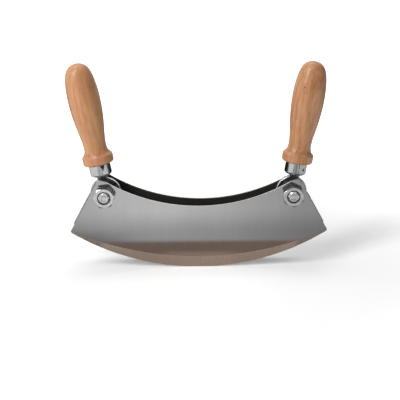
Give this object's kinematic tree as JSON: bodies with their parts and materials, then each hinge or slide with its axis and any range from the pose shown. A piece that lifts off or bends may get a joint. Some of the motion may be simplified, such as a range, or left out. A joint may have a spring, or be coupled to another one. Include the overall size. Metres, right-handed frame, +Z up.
{
  "type": "double-bladed mezzaluna",
  "caption": "Rocking herb chopper with parallel crescent blades held apart by bolts and upright turned wooden handles that tilt on the bolts.",
  "frame": {"origin": "on the ground under the middle of the two cutting edges, halfway between the blades", "axes": "+X along the blades to the right, +Y from the front blade to the rear blade, +Z up"},
  "size_m": [0.231, 0.0404, 0.1853],
  "materials": {
    "blade_steel": "satin stainless steel with fine grinding lines",
    "plated_steel": "bright zinc-plated steel",
    "tang_steel": "plain steel plate with a bright rim",
    "ferrule_steel": "nickel-plated drawn steel, lightly dented",
    "varnished_beech": "clear-varnished turned beech with short dark flecks"
  },
  "bodies": {
    "blade_frame": {"front_blade": "blade_steel", "rear_blade": "blade_steel", "left_bolt": "plated_steel", "right_bolt": "plated_steel", "left_nut": "plated_steel", "right_nut": "plated_steel", "left_front_spacer": "plated_steel", "left_rear_spacer": "plated_steel", "right_front_spacer": "plated_steel", "right_rear_spacer": "plated_steel"},
    "left_handle": {"left_tang": "tang_steel", "left_ferrule": "ferrule_steel", "left_grip": "varnished_beech"},
    "right_handle": {"right_tang": "tang_steel", "right_ferrule": "ferrule_steel", "right_grip": "varnished_beech"}
  },
  "joints": [
    {"name": "left_handle_tilt", "type": "hinge", "parent": "blade_frame", "child": "left_handle", "pos_m": [-0.0838, 0, 0.0683], "axis": [0, -1, 0], "range_deg": [-51.7, 97.3]},
    {"name": "right_handle_tilt", "type": "hinge", "parent": "blade_frame", "child": "right_handle", "pos_m": [0.0838, 0, 0.0683], "axis": [0, 1, 0], "range_deg": [-49.6, 99.4]}
  ]
}
